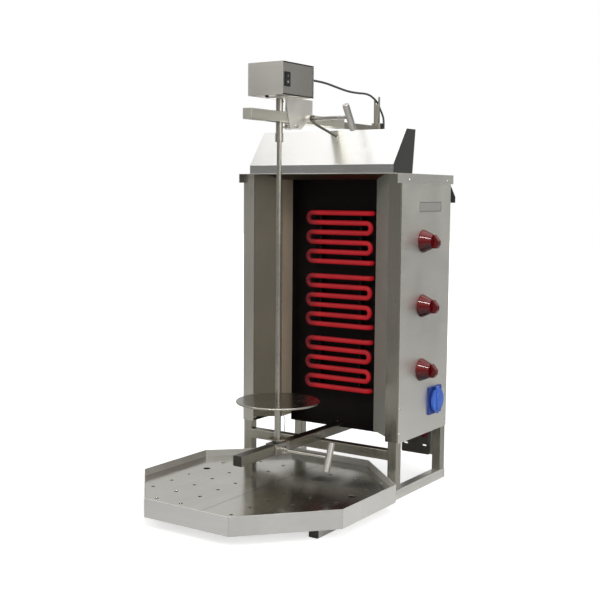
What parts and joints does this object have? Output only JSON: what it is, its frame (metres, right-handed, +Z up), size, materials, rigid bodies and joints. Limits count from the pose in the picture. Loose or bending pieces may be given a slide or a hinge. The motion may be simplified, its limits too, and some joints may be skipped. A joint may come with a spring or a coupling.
{
  "type": "doner kebab grill",
  "caption": "Free-standing electric vertical broiler: zigzag heating rods behind splayed reflectors, a motor-driven spit between sliding arms, and an octagonal drip pan on floor rails.",
  "frame": {"origin": "on the floor under the middle of the whole outline", "axes": "+X to the side with the knobs, +Y from the drip pan to the back panel, +Z up"},
  "size_m": [0.582, 0.822, 1.0595],
  "materials": {
    "stainless": "brushed",
    "polished_steel": "polished",
    "black_enamel": "satin",
    "hot_rod": "glowing hot",
    "knob_red": "glossy",
    "socket_blue": "satin",
    "lid_blue": "glossy",
    "black_plastic": "satin",
    "cable_rubber": "matte",
    "gland_red": "satin",
    "grey_paint": "satin"
  },
  "bodies": {
    "stand": {"rail_left": "stainless", "rail_right": "stainless", "rail_end_caps": "black_plastic", "leg_front_left": "stainless", "leg_front_right": "stainless", "leg_rear_left": "stainless", "leg_rear_right": "stainless", "cross_rail_front": "stainless", "cross_rail_rear": "stainless", "casing_left": "stainless", "casing_right": "stainless", "side_panel": "stainless", "top_cover": "stainless", "back_panel": "stainless", "vent_cowl": "stainless", "reflector_left": "stainless", "reflector_right": "stainless", "reflector_top": "stainless", "heater_box": "black_enamel", "heater_upper": "hot_rod", "heater_middle": "hot_rod", "heater_lower": "hot_rod", "heater_clips": "black_enamel", "hood": "polished_steel", "terminal_box": "stainless", "cable_glands": "gland_red", "badge_plate": "stainless", "panel_screws": "stainless", "regulators": "black_plastic", "socket_body": "socket_blue", "lower_arm": "stainless", "upper_arm": "stainless", "arm_column": "stainless", "motor_cable": "cable_rubber"},
    "upper_carriage": {"motor_bracket": "stainless", "bracket_bolt": "stainless", "motor_box": "stainless", "motor_cover": "stainless", "gearmotor": "grey_paint", "switch_body": "black_plastic", "motor_gland": "black_plastic"},
    "lower_slide": {"lower_carriage": "stainless", "bearing_cup": "stainless"},
    "spit": {"drive_coupling": "stainless", "spit_rod": "stainless", "spit_plate": "polished_steel", "plate_sleeve": "stainless"},
    "collar": {"coupling_collar": "stainless"},
    "clip": {"r_clip": "stainless"},
    "upper_screw": {"upper_clamp": "stainless"},
    "lock_lever": {"clamp_lever": "stainless"},
    "lower_screw": {"lower_clamp": "stainless"},
    "rocker": {"switch_rocker": "black_plastic"},
    "upper_knob": {"knob_upper": "knob_red"},
    "middle_knob": {"knob_middle": "knob_red"},
    "lower_knob": {"knob_lower": "knob_red"},
    "lid": {"socket_lid": "lid_blue"},
    "pan": {"drip_pan": "stainless"},
    "left_grid": {"grid_left": "stainless"},
    "right_grid": {"grid_right": "stainless"}
  },
  "joints": [
    {"name": "upper_carriage_slide", "type": "slide", "parent": "stand", "child": "upper_carriage", "axis": [0, 1, 0], "range_m": [-0.05, 0.045], "deforming": ["motor_cable"]},
    {"name": "lower_carriage_slide", "type": "slide", "parent": "stand", "child": "lower_slide", "axis": [0, 1, 0], "range_m": [-0.05, 0.045]},
    {"name": "spit_spin", "type": "hinge", "parent": "upper_carriage", "child": "spit", "pos_m": [0.008, -0.07, 0.9], "axis": [0, 0, 1], "continuous": true},
    {"name": "collar_lift", "type": "slide", "parent": "spit", "child": "collar", "axis": [0, 0, 1], "range_m": [0, 0.012]},
    {"name": "clip_pull", "type": "slide", "parent": "spit", "child": "clip", "axis": [1, 0, 0], "range_m": [0, 0.028]},
    {"name": "upper_screw_turn", "type": "hinge", "parent": "upper_carriage", "child": "upper_screw", "pos_m": [0.068, 0.0336, 0.9387], "axis": [1, 0, 0], "range_deg": [0, 180]},
    {"name": "lock_lever_turn", "type": "hinge", "parent": "upper_carriage", "child": "lock_lever", "pos_m": [0.034, 0.0336, 0.9387], "axis": [1, 0, 0], "range_deg": [0, 60]},
    {"name": "lower_screw_turn", "type": "hinge", "parent": "lower_slide", "child": "lower_screw", "pos_m": [0.068, -0.065, 0.1315], "axis": [1, 0, 0], "range_deg": [0, 180]},
    {"name": "rocker_tip", "type": "hinge", "parent": "upper_carriage", "child": "rocker", "pos_m": [0.054, -0.1105, 1.0195], "axis": [0, 1, 0], "range_deg": [-8, 8]},
    {"name": "upper_knob_turn", "type": "hinge", "parent": "stand", "child": "upper_knob", "pos_m": [0.263, 0.223, 0.64], "axis": [1, 0, 0], "range_deg": [0, 270]},
    {"name": "middle_knob_turn", "type": "hinge", "parent": "stand", "child": "middle_knob", "pos_m": [0.263, 0.223, 0.477], "axis": [1, 0, 0], "range_deg": [0, 270]},
    {"name": "lower_knob_turn", "type": "hinge", "parent": "stand", "child": "lower_knob", "pos_m": [0.263, 0.223, 0.314], "axis": [1, 0, 0], "range_deg": [0, 270]},
    {"name": "lid_swing", "type": "hinge", "parent": "stand", "child": "lid", "pos_m": [0.2552, 0.299, 0.2585], "axis": [0, -1, 0], "range_deg": [0, 110], "stiffness_Nm_per_rad": 0.02, "springref_deg": -34.38},
    {"name": "pan_slide", "type": "slide", "parent": "stand", "child": "pan", "axis": [0, -1, 0], "range_m": [0, 0.12]},
    {"name": "left_grid_lift", "type": "slide", "parent": "pan", "child": "left_grid", "axis": [0, 0, 1], "range_m": [0, 0.03]},
    {"name": "right_grid_lift", "type": "slide", "parent": "pan", "child": "right_grid", "axis": [0, 0, 1], "range_m": [0, 0.03]}
  ],
  "couplings": [
    {"joint": "lower_carriage_slide", "follows": "upper_carriage_slide", "ratio": 1}
  ]
}
